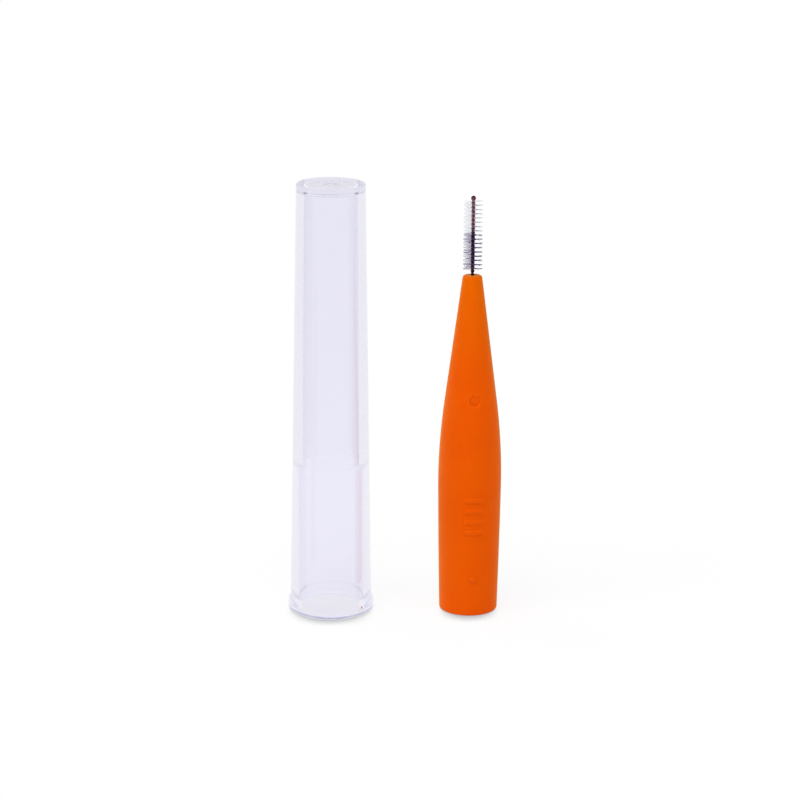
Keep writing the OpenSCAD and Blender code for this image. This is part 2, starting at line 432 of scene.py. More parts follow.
def side_heights():
    """Heights along the handle's side, close together where a mark stands."""
    reach = (BAR_COUNT - 1) * BAR_PITCH / 2 + BAR_W
    zones = [
        (PIP_Z - PIP_ZONE, PIP_Z + PIP_ZONE),
        (BARS_Z - reach, BARS_Z + reach),
        (WINDOW_Z - WINDOW_ZONE, WINDOW_Z + WINDOW_ZONE),
    ]
    heights = [spread(BASE_EDGE_R, zones[0][0], SIDE_STEP)[1:]]
    for i, (low, high) in enumerate(zones):
        heights.append(spread(low, high, MARK_STEP)[1:])
        after = zones[i + 1][0] if i + 1 < len(zones) else HANDLE_LEN - NOSE_EDGE_R
        heights.append(spread(high, after, SIDE_STEP)[1:])
    return np.concatenate(heights)[:-1]


def side_angles():
    """Angles round the handle, close together on the front."""
    low = -math.pi / 2 + MARK_TURN - FRONT_HALF
    high = -math.pi / 2 + MARK_TURN + FRONT_HALF
    fine = np.linspace(low, high, FRONT_COLUMNS)
    coarse = np.linspace(high, low + 2 * math.pi, BACK_COLUMNS + 2)[1:-1]
    return np.concatenate([fine, coarse])


def window_dip(across, height):
    """How far the sleeve is sunk round the window."""
    away = np.hypot(across, height - WINDOW_Z)
    outside = smooth((away - WINDOW_R + WINDOW_RIM) / WINDOW_RIM)
    return (WINDOW_DEPTH + WINDOW_FLOOR_GAP) * (1 - outside)


def pip_moat(across, height):
    """How far the sleeve is sunk in a fine ring round the pip."""
    away = np.abs(np.hypot(across, height - PIP_Z) - PIP_R)
    return PIP_MOAT_DEPTH * (1 - smooth(away / PIP_MOAT_W))


def bar_rise(across, height):
    """How far the sleeve is raised on the grip bars, which have round ends and soft sides."""
    rise = np.zeros(np.broadcast(across, height).shape)
    half_len = (BAR_LEN - BAR_W) / 2
    along = np.maximum(np.abs(across) - half_len, 0)
    for i in range(BAR_COUNT):
        middle = BARS_Z + (i - (BAR_COUNT - 1) / 2) * BAR_PITCH
        inside = BAR_W / 2 - np.hypot(along, height - middle)
        rise = np.maximum(rise, BAR_STAND * smooth(inside / BAR_SLOPE))
    return rise


def handle_side(angles):
    """Rings of points up the side of the handle, with its marks raised and sunk."""
    height = side_heights()[:, None]
    radius = handle_r(height)
    turn = angles + math.pi / 2 - MARK_TURN
    across = radius * np.sin(turn)
    front = np.cos(turn) > 0
    marked = bar_rise(across, height) - window_dip(across, height) - pip_moat(across, height)
    radius = radius + np.where(front, marked, 0)
    height = np.broadcast_to(height, radius.shape)
    return np.stack([radius * np.cos(angles), radius * np.sin(angles), height], 2)


def rings_of(outline, angles):
    """Rings of points for the radius and height of each point of an outline."""
    around = np.stack([np.cos(angles), np.sin(angles), np.zeros_like(angles)], 1)
    return [around * r + (0, 0, z) for r, z in outline]


def core_side(gap):
    """Outline of the core's side, or with a gap added, of the room for it in the sleeve."""
    heights = np.linspace(SLEEVE_END - gap, CORE_TOP + gap, CORE_ROWS)
    return [(handle_r(z) - SLEEVE_WALL + gap, z) for z in heights]


def make_grip(material):
    """The soft sleeve, a closed shell with window, pip's moat and grip bars on its outside."""
    angles = side_angles()
    low_r = handle_r(BASE_EDGE_R) - BASE_EDGE_R
    high_z = HANDLE_LEN - NOSE_EDGE_R
    high_r = handle_r(high_z) - NOSE_EDGE_R
    tail_r = TAIL_R + MOULD_GAP
    base = split_long([(tail_r, 0), (low_r, 0)], FLAT_STEP, FLAT_END)
    foot = arc((low_r, BASE_EDGE_R), BASE_EDGE_R, -90, 0, ROUND_STEPS)[1:]
    head = arc((high_r, high_z), NOSE_EDGE_R, 0, 90, ROUND_STEPS)
    hole_edge = (NOSE_HOLE_R, HANDLE_LEN)
    nose = split_long([(high_r, HANDLE_LEN), hole_edge], NOSE_STEP, NOSE_END)[1:]
    hole_foot = (NOSE_HOLE_R, CORE_TOP + MOULD_GAP)
    hole = split_long([hole_edge, hole_foot], HOLE_STEP, NOSE_END)[1:]
    inside = core_side(MOULD_GAP)[::-1] + [(tail_r, SLEEVE_END - MOULD_GAP)]
    rings = rings_of(base + foot, angles)
    rings += list(handle_side(angles))
    rings += rings_of(head + nose + hole + inside, angles)
    points = np.concatenate(rings)
    faces = grid_faces(len(rings), len(angles), True)
    obj = piece("grip_sleeve", points, faces, "brush", material)
    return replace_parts(obj, "grip")


def mark_frame(height):
    """Turns a shape drawn up Z into one that points out of the front of the handle at a height."""
    level = Matrix.Rotation(math.pi / 2, 4, "X")
    return Matrix.Translation((0, 0, height)) @ Matrix.Rotation(MARK_TURN, 4, "Z") @ level


def moved(points, matrix):
    """Points turned and shifted by a matrix."""
    turn = np.array(matrix.to_3x3())
    return np.asarray(points) @ turn.T + np.array(matrix.translation)


def front_dome(height, radius, foot, rise):
    """A round post that points out of the front of the handle, with a dome for its end."""
    root = foot - 2 * radius
    angles = np.linspace(0, math.pi / 2, DOME_STEPS + 1)[:-1]
    dome = [(radius * math.cos(a), foot + rise * math.sin(a)) for a in angles]
    outline = [(0, root), (radius, root), *dome, (0, foot + rise)]
    points, faces = turned(outline, even_angles(DOME_COLUMNS))
    return moved(points, mark_frame(height)), faces


def make_core(material):
    """The firm core, with its boss in the window and its pip near the base."""
    shape = Shape()
    flat_r = TAIL_R - TAIL_EDGE_R
    body = [(0, 0)] + split_long([(CORE_MIDDLE_R, 0), (flat_r, 0)], FLAT_STEP, FLAT_END)
    body += arc((flat_r, TAIL_EDGE_R), TAIL_EDGE_R, -90, 0, TAIL_EDGE_STEPS)[1:]
    body += [(TAIL_R, SLEEVE_END), *core_side(0), (0, CORE_TOP)]
    shape.add(*turned(body, even_angles(CORE_COLUMNS)))

    window_foot = handle_r(WINDOW_Z) - WINDOW_DEPTH
    window_r = WINDOW_R - WINDOW_RIM / 2
    shape.add(*front_dome(WINDOW_Z, window_r, window_foot, WINDOW_DOME))
    pip_foot = handle_r(PIP_Z) - PIP_MOAT_DEPTH
    shape.add(*front_dome(PIP_Z, PIP_R, pip_foot, PIP_STAND + PIP_MOAT_DEPTH))

    obj = piece("core_insert", shape.all_points(), shape.faces, "brush", material)
    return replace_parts(obj, "core")


def twist(z):
    """Turn of the wires at a height, of a left-handed twist."""
    return -2 * math.pi * (z - WIRE_ROOT) / TWIST_PITCH


def strand_off(z):
    """Distance of each wire from the middle. They touch up to the filaments, which part them."""
    return WIRE_R + (STRAND_OFF - WIRE_R) * smooth((z - DARK_LOW.z) / TWIST_PITCH + 0.5)


def out_dir(angle):
    """Level direction out from the axis at an angle."""
    return np.stack([np.cos(angle), np.sin(angle), np.zeros_like(angle)], -1)


def strand_line(turn):
    """Middle line of one wire from its root to the foot of the eye."""
    steps = TURN_STEPS * math.ceil((TWIST_TOP - WIRE_ROOT) / TWIST_PITCH)
    z = np.linspace(WIRE_ROOT, TWIST_TOP, steps, endpoint=False)
    line = out_dir(twist(z) + turn) * strand_off(z)[:, None]
    line[:, 2] = z
    share = np.linspace(0, 1, PARTING_STEPS, endpoint=False)
    slowed = share - share * share / 2
    parted = smooth(share)
    angle = twist(TWIST_TOP + EYE_RISE * slowed) + turn + EYE_ANGLE * parted
    rise = out_dir(angle) * (STRAND_OFF + (EYE_R - STRAND_OFF) * parted)[:, None]
    rise[:, 2] = TWIST_TOP + EYE_RISE * share
    return np.concatenate([line, rise])


def eye_line():
    """Middle line of the half circle where the wire is folded."""
    across = out_dir(np.array(twist(TWIST_TOP + EYE_RISE / 2) + EYE_ANGLE))
    angle = np.linspace(0, math.pi, EYE_STEPS + 1)[:, None]
    line = EYE_R * (np.cos(angle) * across + np.sin(angle) * np.array([0, 0, 1.0]))
    line[:, 2] += EYE_Z
    return line


def tube(line, radii, sides):
    """Points and faces of a closed tube along a line, carried forward without twist."""
    along = np.gradient(line, axis=0)
    along /= np.linalg.norm(along, axis=1, keepdims=True)
    side = np.cross(along[0], TUBE_START)
    angles = even_angles(sides)
    rings = []
    for place, ahead, radius in zip(line, along, np.broadcast_to(radii, len(line))):
        side = side - ahead * np.dot(side, ahead)
        side /= np.linalg.norm(side)
        other = np.cross(ahead, side)
        around = np.outer(np.cos(angles), side) + np.outer(np.sin(angles), other)
        rings.append(place + radius * around)
    points = np.concatenate([*rings, [line[0], line[-1]]])
    last = len(line) * sides
    faces = grid_faces(len(line), sides, False)
    faces += pole_faces(0, sides, last) + pole_faces(last - sides, sides, last + 1)
    return points, faces


def make_wire(material):
    """One wire, twisted up to the eye and back down to its root."""
    line = np.concatenate([strand_line(0), eye_line(), strand_line(math.pi)[::-1]])
    bent = smooth((line[:, 2] - TWIST_TOP) / EYE_RISE)
    points, faces = tube(line, WIRE_R + (EYE_WIRE_R - WIRE_R) * bent, WIRE_SIDES)
    obj = piece("twisted_wire", points, faces, "brush", material)
    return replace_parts(obj, "wire")


def filament(rng, z, angle, reach):
    """Middle line of one filament, from between the wires to its free end."""
    tilt = rng.gauss(0, FILAMENT_LEAN)
    bend = rng.gauss(0, FILAMENT_LEAN)
    share = np.linspace(0, 1, FILAMENT_POINTS)[:, None]
    line = out_dir(np.array(angle)) * share * reach
    line[:, 2] = z + (tilt * share[:, 0] + bend * share[:, 0] ** 2) * reach
    return line


def packing(low, high):
    """The filaments' middles, which fill the groove between the wires as a twisted flat band."""
    corners = 4
    z = np.linspace(low, high, PACKING_STEPS * math.ceil((high - low) / TWIST_PITCH))
    along = out_dir(twist(z) + math.pi / 2) * PACKING_W
    across = out_dir(twist(z)) * PACKING_T / 2
    rings = np.stack([along + across, -along + across, -along - across, along - across], 1)
    rings[:, :, 2] = z[:, None]
    faces = grid_faces(len(z), corners, False)
    last = corners * (len(z) - 1)
    faces += [(3, 2, 1, 0), (last, last + 1, last + 2, last + 3)]
    return rings.reshape(-1, 3), faces


def filament_zone(rng, low, high, radius, layers, splay):
    """One zone of filaments: each layer lies between the wires and points out on both sides."""
    shape = Shape()
    shape.add(*packing(low, high))
    for i in range(layers):
        z = low + (high - low) * (i + 0.5 + rng.uniform(-LAYER_SPREAD, LAYER_SPREAD)) / layers
        for side in (-1, 1):
            reach = BRUSH_R * (1 - abs(rng.gauss(0, REACH_SPREAD)))
            angle = twist(z) + side * math.pi / 2 + rng.gauss(0, splay)
            line = filament(rng, z, angle, reach)
            line[:, 2] = np.clip(line[:, 2], low + radius, None)
            shape.add(*tube(line, radius, FILAMENT_SIDES))
    return shape.all_points(), shape.faces


def make_dark_filaments(material):
    """The dark nylon of the lower half of the brush."""
    low, high = DARK_LOW.z, DARK_HIGH.z
    rng = random.Random(DARK_SEED)
    points, faces = filament_zone(rng, low, high, DARK_FILAMENT_R, DARK_LAYERS, DARK_SPLAY)
    obj = piece("dark_filaments", points, faces, "brush", material)
    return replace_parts(obj, "filaments_dark")


def make_white_filaments(material):
    """The nearly clear nylon of the upper half of the brush."""
    low, high = WHITE_LOW.z, WHITE_HIGH.z
    rng = random.Random(WHITE_SEED)
    points, faces = filament_zone(rng, low, high, WHITE_FILAMENT_R, WHITE_LAYERS, WHITE_SPLAY)
    obj = piece("white_filaments", points, faces, "brush", material)
    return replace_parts(obj, "filaments_white")


def cap_outline():
    """Outline of the cap from its dimple down its outside and up its inside to the ceiling."""
    top_r = CHAMBER_TOP_R + TOP_WALL
    ceiling_z = CAP_LEN - CEILING_T
    dimple_z = CAP_LEN - DIMPLE_DEPTH
    gate_shares = np.linspace(0, 1, GATE_POINTS)
    gate = [(GATE_R * s, dimple_z + GATE_H * (1 - s ** 4)) for s in gate_shares]
    flare = [
        (WALL_FOOT_R + LIP_OUT * (1 + math.cos(math.pi * s)) / 2, LIP_H + FLARE_H * s)
        for s in np.linspace(1, 0, FLARE_POINTS)
    ]
    outside = [*gate, (DIMPLE_R - DIMPLE_EDGE_R, dimple_z)]
    outside += arc((DIMPLE_R, CAP_LEN - DIMPLE_EDGE_R), DIMPLE_EDGE_R, 180, 90, DIMPLE_STEPS)
    outside += arc((top_r - TOP_EDGE_R, CAP_LEN - TOP_EDGE_R), TOP_EDGE_R, 90, 0, ROUND_STEPS)
    outside += flare + arc((LIP_R - LIP_EDGE_R, LIP_EDGE_R), LIP_EDGE_R, 0, -90, LIP_STEPS)
    lead = [(SOCKET_R + MOUTH_LEAD, 0), (SOCKET_R, MOUTH_LEAD)]
    step = [(SOCKET_R, SOCKET_DEPTH), (CHAMBER_FOOT_R, SOCKET_DEPTH + STEP_RISE)]
    fillet_middle = (CHAMBER_TOP_R - CEILING_FILLET, ceiling_z - CEILING_FILLET)
    ceiling = arc(fillet_middle, CEILING_FILLET, 0, 90, ROUND_STEPS) + [(0, ceiling_z)]
    return split_long(outside + lead + step + ceiling, CAP_STEP, FLAT_END)


def cap_angles():
    """Angles round the cap, with a few more where the mould line runs."""
    across = np.linspace(-1, 1, MOULD_LINE_COLUMNS) * 2 * MOULD_LINE_W / SOCKET_R
    low = MOULD_LINE_TURN + MOULD_LINE_SIDE
    high = MOULD_LINE_TURN - MOULD_LINE_SIDE + 2 * math.pi
    return np.concatenate([MOULD_LINE_TURN + across, np.linspace(low, high, CAP_COLUMNS)])


def raise_mould_line(points):
    """Raises a faint line up the inside of the socket."""
    radius = np.hypot(points[:, 0], points[:, 1])
    turn = np.arctan2(points[:, 1], points[:, 0]) - MOULD_LINE_TURN
    across = np.abs((turn + math.pi) % (2 * math.pi) - math.pi) * SOCKET_R
    height = points[:, 2]
    on_wall = np.abs(radius - SOCKET_R) < SAME_RADIUS
    inside = on_wall & (height > MOULD_LINE_LOW) & (height < MOULD_LINE_HIGH)
    ridge = MOULD_LINE_H * (1 - smooth(across / MOULD_LINE_W))
    high_end = smooth((MOULD_LINE_HIGH - height) / MOULD_LINE_FADE)
    ends = smooth(height - MOULD_LINE_LOW) * high_end
    share = 1 - np.where(inside, ridge * ends, 0) / np.maximum(radius, SAME_RADIUS)
    points[:, :2] *= share[:, None]
    return points


def make_cap(material):
    """The clear cap, a closed shell with a socket, a step and a chamber inside."""
    points, faces = turned(cap_outline(), cap_angles())
    points = raise_mould_line(points)
    points[:, 0] += CAP_X
    obj = piece("clear_cap", points, faces, "cap", material)
    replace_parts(obj, "cap")
    return obj


def add(tree, kind, inputs=None, **settings):
    """A new node with settings and plain input values."""
    node = tree.nodes.new(kind)
    for key, value in settings.items():
        setattr(node, key, value)
    for key, value in (inputs or {}).items():
        node.inputs[key].default_value = value
    return node


def feed(tree, source, target):
    """Gives an input the output of another node, or a plain value."""
    if isinstance(source, bpy.types.NodeSocket):
        tree.links.new(source, target)
    else:
        target.default_value = source


def empty_tree(owner):
    """The node tree of a new material or world, without the nodes that it comes with."""
    owner.use_nodes = True
    owner.node_tree.nodes.clear()
    return owner.node_tree


def joined(tree, operation, first, *others):
    """Carries one operation on over several values, each of them a number or an output."""
    for other in others:
        node = add(tree, "ShaderNodeMath", operation=operation)
        feed(tree, first, node.inputs[0])
        feed(tree, other, node.inputs[1])
        first = node.outputs[0]
    return first


def raised(tree, base, value, share):
    """A value with a share of another added to it."""
    node = add(tree, "ShaderNodeMath", operation="MULTIPLY_ADD")
    feed(tree, value, node.inputs[0])
    feed(tree, share, node.inputs[1])
    feed(tree, base, node.inputs[2])
    return node.outputs[0]


def mixed(tree, share, first, second, kind="RGBA"):
    """Goes from a first to a second colour or number as the share goes from 0 to 1."""
    node = add(tree, "ShaderNodeMix", data_type=kind)
    feed(tree, share, node.inputs["Factor"])
    feed(tree, first, node.inputs["A"])
    feed(tree, second, node.inputs["B"])
    return node.outputs["Result"]


def ranged(tree, value, reach, **settings):
    """A value carried from one range of numbers to another."""
    node = add(tree, "ShaderNodeMapRange", reach, **settings)
    feed(tree, value, node.inputs["Value"])
    return node.outputs["Result"]


def eased(tree, value, start, end):
    """Goes smoothly from 0 at one value to 1 at another, above or below it."""
    reach = {"From Min": min(start, end), "From Max": max(start, end)}
    if start > end:
        reach.update({"To Min": 1.0, "To Max": 0.0})
    return ranged(tree, value, reach, interpolation_type="SMOOTHSTEP")


def height_share(tree, start, end):
    """Goes from 0 at one height of the object to 1 at another, above or below it."""
    place = add(tree, "ShaderNodeTexCoord")
    height = add(tree, "ShaderNodeSeparateXYZ")
    feed(tree, place.outputs["Object"], height.inputs[0])
    return eased(tree, height.outputs["Z"], start * MM, end * MM)


def near_cap(tree, place, counted, inner, outer):
    """Goes from 1 at an inner to 0 at an outer distance from the cap's foot, by counted axes."""
    part = add(tree, "ShaderNodeVectorMath", operation="MULTIPLY")
    feed(tree, place, part.inputs[0])
    feed(tree, counted, part.inputs[1])
    away = add(tree, "ShaderNodeVectorMath", operation="DISTANCE")
    feed(tree, part.outputs["Vector"], away.inputs[0])
    feed(tree, (CAP_X * MM, 0, 0), away.inputs[1])
    return eased(tree, away.outputs["Value"], outer * MM, inner * MM)


def show_either(tree, share, first, second, out):
    """Shows a first shader, and by the share a second one instead."""
    node = add(tree, "ShaderNodeMixShader")
    feed(tree, share, node.inputs["Fac"])
    feed(tree, first, node.inputs[1])
    feed(tree, second, node.inputs[2])
    feed(tree, node.outputs["Shader"], out.inputs["Surface"])


def new_group(name, inputs, outputs):
    """An empty node group with named sockets, its tree and its two end nodes."""
    group = bpy.data.node_groups.new(name, "ShaderNodeTree")
    for socket, (kind, value) in inputs.items():
        made = group.interface.new_socket(socket, in_out="INPUT", socket_type="NodeSocket" + kind)
        made.default_value = value
    for socket, kind in outputs.items():
        group.interface.new_socket(socket, in_out="OUTPUT", socket_type="NodeSocket" + kind)
    return group, group.nodes.new("NodeGroupInput"), group.nodes.new("NodeGroupOutput")


def moulded_skin_group():
    """Fine moulded grain with soft flow marks, as a height, and a mask that wanders slowly."""
    inputs = {
        "Grain Scale": ("Float", 5000.0),
        "Flow Scale": ("Float", 150.0),
        "Flow Share": ("Float", 0.5),
    }
    group, start, end = new_group("moulded_skin", inputs, {"Height": "Float", "Flow": "Float"})
    place = add(group, "ShaderNodeTexCoord")
    grain = add(group, "ShaderNodeTexNoise", {"Detail": 3.0, "Roughness": 0.6})
    pits = add(group, "ShaderNodeTexVoronoi", feature="SMOOTH_F1")
    flow = add(group, "ShaderNodeTexNoise", {"Detail": 2.0, "Distortion": 0.6})
    for node, scale in ((grain, "Grain Scale"), (pits, "Grain Scale"), (flow, "Flow Scale")):
        feed(group, place.outputs["Object"], node.inputs["Vector"])
        feed(group, start.outputs[scale], node.inputs["Scale"])
    fine = raised(group, grain.outputs["Fac"], pits.outputs["Distance"], PIT_SHARE)
    height = raised(group, fine, flow.outputs["Fac"], start.outputs["Flow Share"])
    feed(group, height, end.inputs["Height"])
    feed(group, flow.outputs["Fac"], end.inputs["Flow"])
    return group


def tone_group():
    """Tones that wander, go to a second, and pale on edges by wear and a painted highlight."""
    inputs = {
        "Tone": ("Color", WHITE),
        "Deep Tone": ("Color", WHITE),
        "Mask": ("Float", 0.5),
        "Wear And Highlight Tone": ("Color", WHITE),
        "Wear And Highlight Amount": ("Float", 0.0),
        "Second Tone": ("Color", WHITE),
        "Second Share": ("Float", 0.0),
    }
    group, start, end = new_group("tone", inputs, {"Color": "Color"})
    wander = ranged(group, start.outputs["Mask"], {"From Min": 0.35, "From Max": 0.65})
    tones = mixed(group, wander, start.outputs["Tone"], start.outputs["Deep Tone"])
    whole = mixed(group, start.outputs["Second Share"], tones, start.outputs["Second Tone"])
    shape = add(group, "ShaderNodeNewGeometry")
    # Convex edges take the edge tone: partly wear, partly a painted highlight.
    edge = ranged(group, shape.outputs["Pointiness"], {"From Min": 0.52, "From Max": 0.62})
    wear_and_highlight = joined(group, "MULTIPLY", edge, start.outputs["Wear And Highlight Amount"])
    worn_and_highlit = mixed(group, wear_and_highlight, whole, start.outputs["Wear And Highlight Tone"])
    feed(group, worn_and_highlit, end.inputs["Color"])
    return group


def new_material(name, values):
    """A material with one Principled shader, its plain values set."""
    material = bpy.data.materials.new(name)
    tree = empty_tree(material)
    shader = add(tree, "ShaderNodeBsdfPrincipled", values)
    out = add(tree, "ShaderNodeOutputMaterial")
    feed(tree, shader.outputs["BSDF"], out.inputs["Surface"])
    return material, tree, shader, out


def finish_surface(tree, shader, groups, tones, surface):
    """Gives a shader tones, gloss that wanders with them and grain, and returns the tones' node."""
    skin = add(tree, "ShaderNodeGroup", surface["skin"], node_tree=groups[0])
    tone = add(tree, "ShaderNodeGroup", tones, node_tree=groups[1])
    feed(tree, skin.outputs["Flow"], tone.inputs["Mask"])
    feed(tree, tone.outputs["Color"], shader.inputs["Base Color"])
    low, high = surface["rough"]
    reach = {"From Min": 0.3, "From Max": 0.7, "To Min": low, "To Max": high}
    feed(tree, ranged(tree, skin.outputs["Flow"], reach), shader.inputs["Roughness"])
    bump = add(tree, "ShaderNodeBump", surface["bump"])
    feed(tree, skin.outputs["Height"], bump.inputs["Height"])
    feed(tree, bump.outputs["Normal"], shader.inputs["Normal"])
    return tone


def moulded_plastic(name, groups, tones, values, surface, rise=()):
    """Moulded plastic or rubber, whose second tone comes and goes between heights."""
    material, tree, shader = new_material(name, values)[:3]
    tone = finish_surface(tree, shader, groups, tones, surface)
    if rise:
        shares = [height_share(tree, *heights) for heights in rise]
        feed(tree, joined(tree, "MULTIPLY", *shares), tone.inputs["Second Share"])
    return material


def orange_elastomer(groups):
    """Soft orange rubber, paler on its edges by sheen, wear and a painted highlight, and yellower
    up the cone.
    """
    tones = {
        "Tone": (0.81, 0.100, 0.001, 1),
        "Deep Tone": (0.79, 0.090, 0.001, 1),
        # Paler edge tone: partly wear, partly a painted highlight.
        "Wear And Highlight Tone": (0.84, 0.24, 0.006, 1),
        "Wear And Highlight Amount": 0.5,
        "Second Tone": (0.775, 0.124, 0.0005, 1),
    }
    values = {
        "Subsurface Weight": 0.1,
        "Subsurface Radius": (1.0, 0.25, 0.05),
        "Subsurface Scale": 0.4 * MM,
        "IOR": 1.48,
        "Specular IOR Level": 0.01,
        "Specular Tint": (1.0, 0.75, 0.1, 1),
        "Sheen Weight": 0.3,
        "Sheen Roughness": 0.4,
        "Sheen Tint": (0.8, 1.0, 0.25, 1),
    }
    surface = {
        "skin": {"Grain Scale": 5500, "Flow Scale": 120},
        "rough": (0.4, 0.5),
        "bump": {"Distance": 0.006 * MM, "Strength": 0.5},
    }
    return moulded_plastic("orange_elastomer", groups, tones, values, surface, HANDLE_RISE)


def orange_core_plastic(groups):
    """Firm orange plastic, a little deeper in tone than the rubber."""
    tones = {
        "Tone": (0.80, 0.094, 0.001, 1),
        "Deep Tone": (0.78, 0.086, 0.001, 1),
        # Paler edge tone: partly wear, partly a painted highlight.
        "Wear And Highlight Tone": (0.86, 0.14, 0.006, 1),
        "Wear And Highlight Amount": 0.4,
    }
    values = {"IOR": 1.5, "Specular IOR Level": 0.1, "Specular Tint": (1.0, 0.7, 0.15, 1)}
    surface = {
        "skin": {"Grain Scale": 3500, "Flow Scale": 300},
        "rough": (0.35, 0.45),
        "bump": {"Distance": 0.004 * MM, "Strength": 0.4},
    }
    return moulded_plastic("orange_core_plastic", groups, tones, values, surface)


def drawn_wire_metal(groups):
    """Dark stainless wire, fine grain, slow stains, deeper in painted shade among the dark nylon.
    """
    tones = {
        # Tone and Deep Tone show among the dark nylon, where their darkness is a painted shade of
        # the filaments round the wire, and on the eye.
        "Tone": (0.05, 0.014, 0.03, 1),
        "Deep Tone": (0.03, 0.008, 0.018, 1),
        "Wear And Highlight Tone": (0.12, 0.05, 0.07, 1),
        "Wear And Highlight Amount": 0.3,
        "Second Tone": (0.26, 0.088, 0.135, 1),
    }
    surface = {
        "skin": {"Grain Scale": 9000, "Flow Scale": 1500},
        "rough": (0.3, 0.45),
        "bump": {"Distance": 0.003 * MM, "Strength": 0.4},
    }
    values = {"Metallic": 0.85}
    return moulded_plastic("drawn_wire_metal", groups, tones, values, surface, WIRE_RISE)


def nylon(name, groups, tone, deep, values):
    """Extruded nylon filament, with a little change of tone from strand to strand."""
    tones = {"Tone": tone, "Deep Tone": deep, "Wear And Highlight Tone": tone, "Wear And Highlight Amount": 0.0}
    surface = {
        "skin": {"Grain Scale": 8000, "Flow Scale": 2500},
        "rough": (0.3, 0.45),
        "bump": {"Distance": 0.002 * MM, "Strength": 0.3},
    }
    return moulded_plastic(name, groups, tones, values, surface)


def dark_nylon(groups):
    """Dark nylon with a violet cast."""
    tone = (0.088, 0.04, 0.24, 1)
    deep = (0.052, 0.024, 0.15, 1)
    return nylon("dark_nylon", groups, tone, deep, {"IOR": 1.53})


def white_nylon(groups):
    """White nylon so fine that most of what stands behind it shows."""
    tone = (0.34, 0.40, 0.51, 1)
    deep = (0.28, 0.32, 0.45, 1)
    values = {"IOR": 1.4, "Transmission Weight": 0.3, "Alpha": 0.19}
    return nylon("white_nylon", groups, tone, deep, values)


def cap_shade(tree, tone):
    """Sets where the cap takes its second tone, as painted shade, and paints shade under the closed
    end.
    """
    place = add(tree, "ShaderNodeTexCoord").outputs["Object"]
    # The second tone is painted shade: on top, up the cap, where the wall turns from the eye, along
    # the chamber.
    top = near_cap(tree, place, (1, 1, 0), CHAMBER_TOP_R - TOP_SOFT_EDGE, CHAMBER_TOP_R)
    rise = joined(tree, "MULTIPLY", height_share(tree, RISE_START, CAP_LEN), RISE_SHARE)
    turned_off = add(tree, "ShaderNodeLayerWeight", {"Blend": 0.5}).outputs["Facing"]
    side = joined(tree, "MULTIPLY", eased(tree, turned_off, *TURNED_RANGE), TURNED_SHARE)
    above_step = height_share(tree, SOCKET_DEPTH, SOCKET_DEPTH + LINE_START)
    rising = eased(tree, turned_off, *LINE_RISING)
    falling = eased(tree, turned_off, *LINE_FALLING)
    line = joined(tree, "MULTIPLY", rising, falling, above_step, LINE_SHARE)
    share = joined(tree, "MAXIMUM", joined(tree, "ADD", rise, side, line), top)
    feed(tree, share, tone.inputs["Second Share"])
    # A painted dark shade in the corner under the closed end.
    above = height_share(tree, CORNER_HEIGHT - CORNER_REACH, CORNER_HEIGHT)
    below = height_share(tree, CORNER_HEIGHT + CORNER_REACH, CORNER_HEIGHT)
    corner = joined(tree, "MULTIPLY", rising, rising, falling, falling, above, below)
    return mixed(tree, corner, tone.outputs["Color"], CORNER_SHADE_TONE)


def straight_light(tree):
    """Light that goes straight on after many bounces or as shadow: its share, and its shader."""
    path = add(tree, "ShaderNodeLightPath")
    shadow = path.outputs["Is Shadow Ray"]
    deep = joined(tree, "GREATER_THAN", path.outputs["Ray Depth"], MOST_BOUNCES - 0.5)
    clear = add(tree, "ShaderNodeBsdfTransparent")
    feed(tree, mixed(tree, shadow, STRAIGHT_TONE, SHADOW_TONE), clear.inputs["Color"])
    return joined(tree, "MAXIMUM", shadow, deep), clear.outputs["BSDF"]


def clear_plastic(groups):
    """Clear polished plastic, a faint lavender cast, slow waves, painted shade. Lamps shine through
    it.
    """
    values = {"IOR": 1.49, "Transmission Weight": 1.0}
    # Its second tone is the painted shade that cap_shade places, and its pale edge tone a painted
    # highlight.
    tones = {
        "Tone": (0.933, 0.926, 0.986, 1),
        "Deep Tone": (0.927, 0.920, 0.984, 1),
        "Wear And Highlight Tone": (0.98, 0.98, 0.99, 1),
        "Wear And Highlight Amount": 0.3,
        "Second Tone": (0.70, 0.69, 0.77, 1),
    }
    surface = {
        "skin": {"Grain Scale": 900.0, "Flow Scale": 110.0, "Flow Share": 3.0},
        "rough": (0.03, 0.05),
        "bump": {"Distance": 0.0015 * MM, "Strength": 0.3},
    }
    material, tree, shader, out = new_material("clear_plastic", values)
    tone = finish_surface(tree, shader, groups, tones, surface)
    feed(tree, cap_shade(tree, tone), shader.inputs["Base Color"])
    share, straight = straight_light(tree)
    show_either(tree, share, shader.outputs["BSDF"], straight, out)
    inputs = {"Color": DEPTH_TONE, "Density": DEPTH_DENSITY}
    depth = add(tree, "ShaderNodeVolumeAbsorption", inputs)
    feed(tree, depth.outputs["Volume"], out.inputs["Volume"])
    return material


def background_ray(tree):
    """1 for the rays that show the background, straight on or by gloss or glass."""
    path = add(tree, "ShaderNodeLightPath")
    rays = ("Is Camera Ray", "Is Glossy Ray", "Is Transmission Ray")
    return joined(tree, "MAXIMUM", *(path.outputs[ray] for ray in rays))


